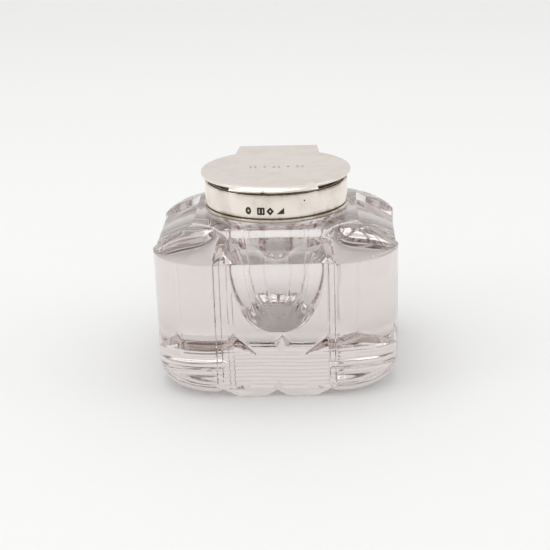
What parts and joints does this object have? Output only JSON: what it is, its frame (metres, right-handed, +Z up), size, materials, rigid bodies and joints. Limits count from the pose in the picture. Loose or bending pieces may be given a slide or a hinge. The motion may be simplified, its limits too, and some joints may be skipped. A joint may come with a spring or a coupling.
{
  "type": "inkwell",
  "caption": "Square thick-glass desk inkwell with rounded corner lobes, a round well, a star-cut foot, a silver collar and a hinged flat silver lid with a thumb lip.",
  "frame": {"origin": "middle of the foot, on the plane it stands on", "axes": "+Z up along the well's axis, -Y the front with the lid's thumb lip, +Y the hinge side, +X to the right seen from the front"},
  "size_m": [0.065, 0.065, 0.054],
  "materials": {
    "glass": "polished cut glass, faint mauve tint",
    "silver": "old polished silver with fine scratches",
    "silver_inside": "dull tarnished silver",
    "plaster": "matte mounting plaster"
  },
  "bodies": {
    "base": {"glass_body": "glass", "neck_cement": "plaster", "collar_band": "silver", "collar_foot_bead": "silver", "collar_seat_ring": "silver_inside", "hinge_bracket": "silver", "collar_knuckle_1": "silver", "collar_knuckle_2": "silver", "collar_knuckle_3": "silver", "hinge_pin": "silver"},
    "lid": {"lid_plate": "silver", "lid_bezel": "silver_inside", "lid_drop_ring": "silver_inside", "lid_knuckle_1": "silver", "lid_knuckle_2": "silver"}
  },
  "joints": [
    {"name": "lid_hinge", "type": "hinge", "parent": "base", "child": "lid", "pos_m": [0, 0.0242, 0.0516], "axis": [-1, 0, 0], "range_deg": [0, 105]}
  ]
}
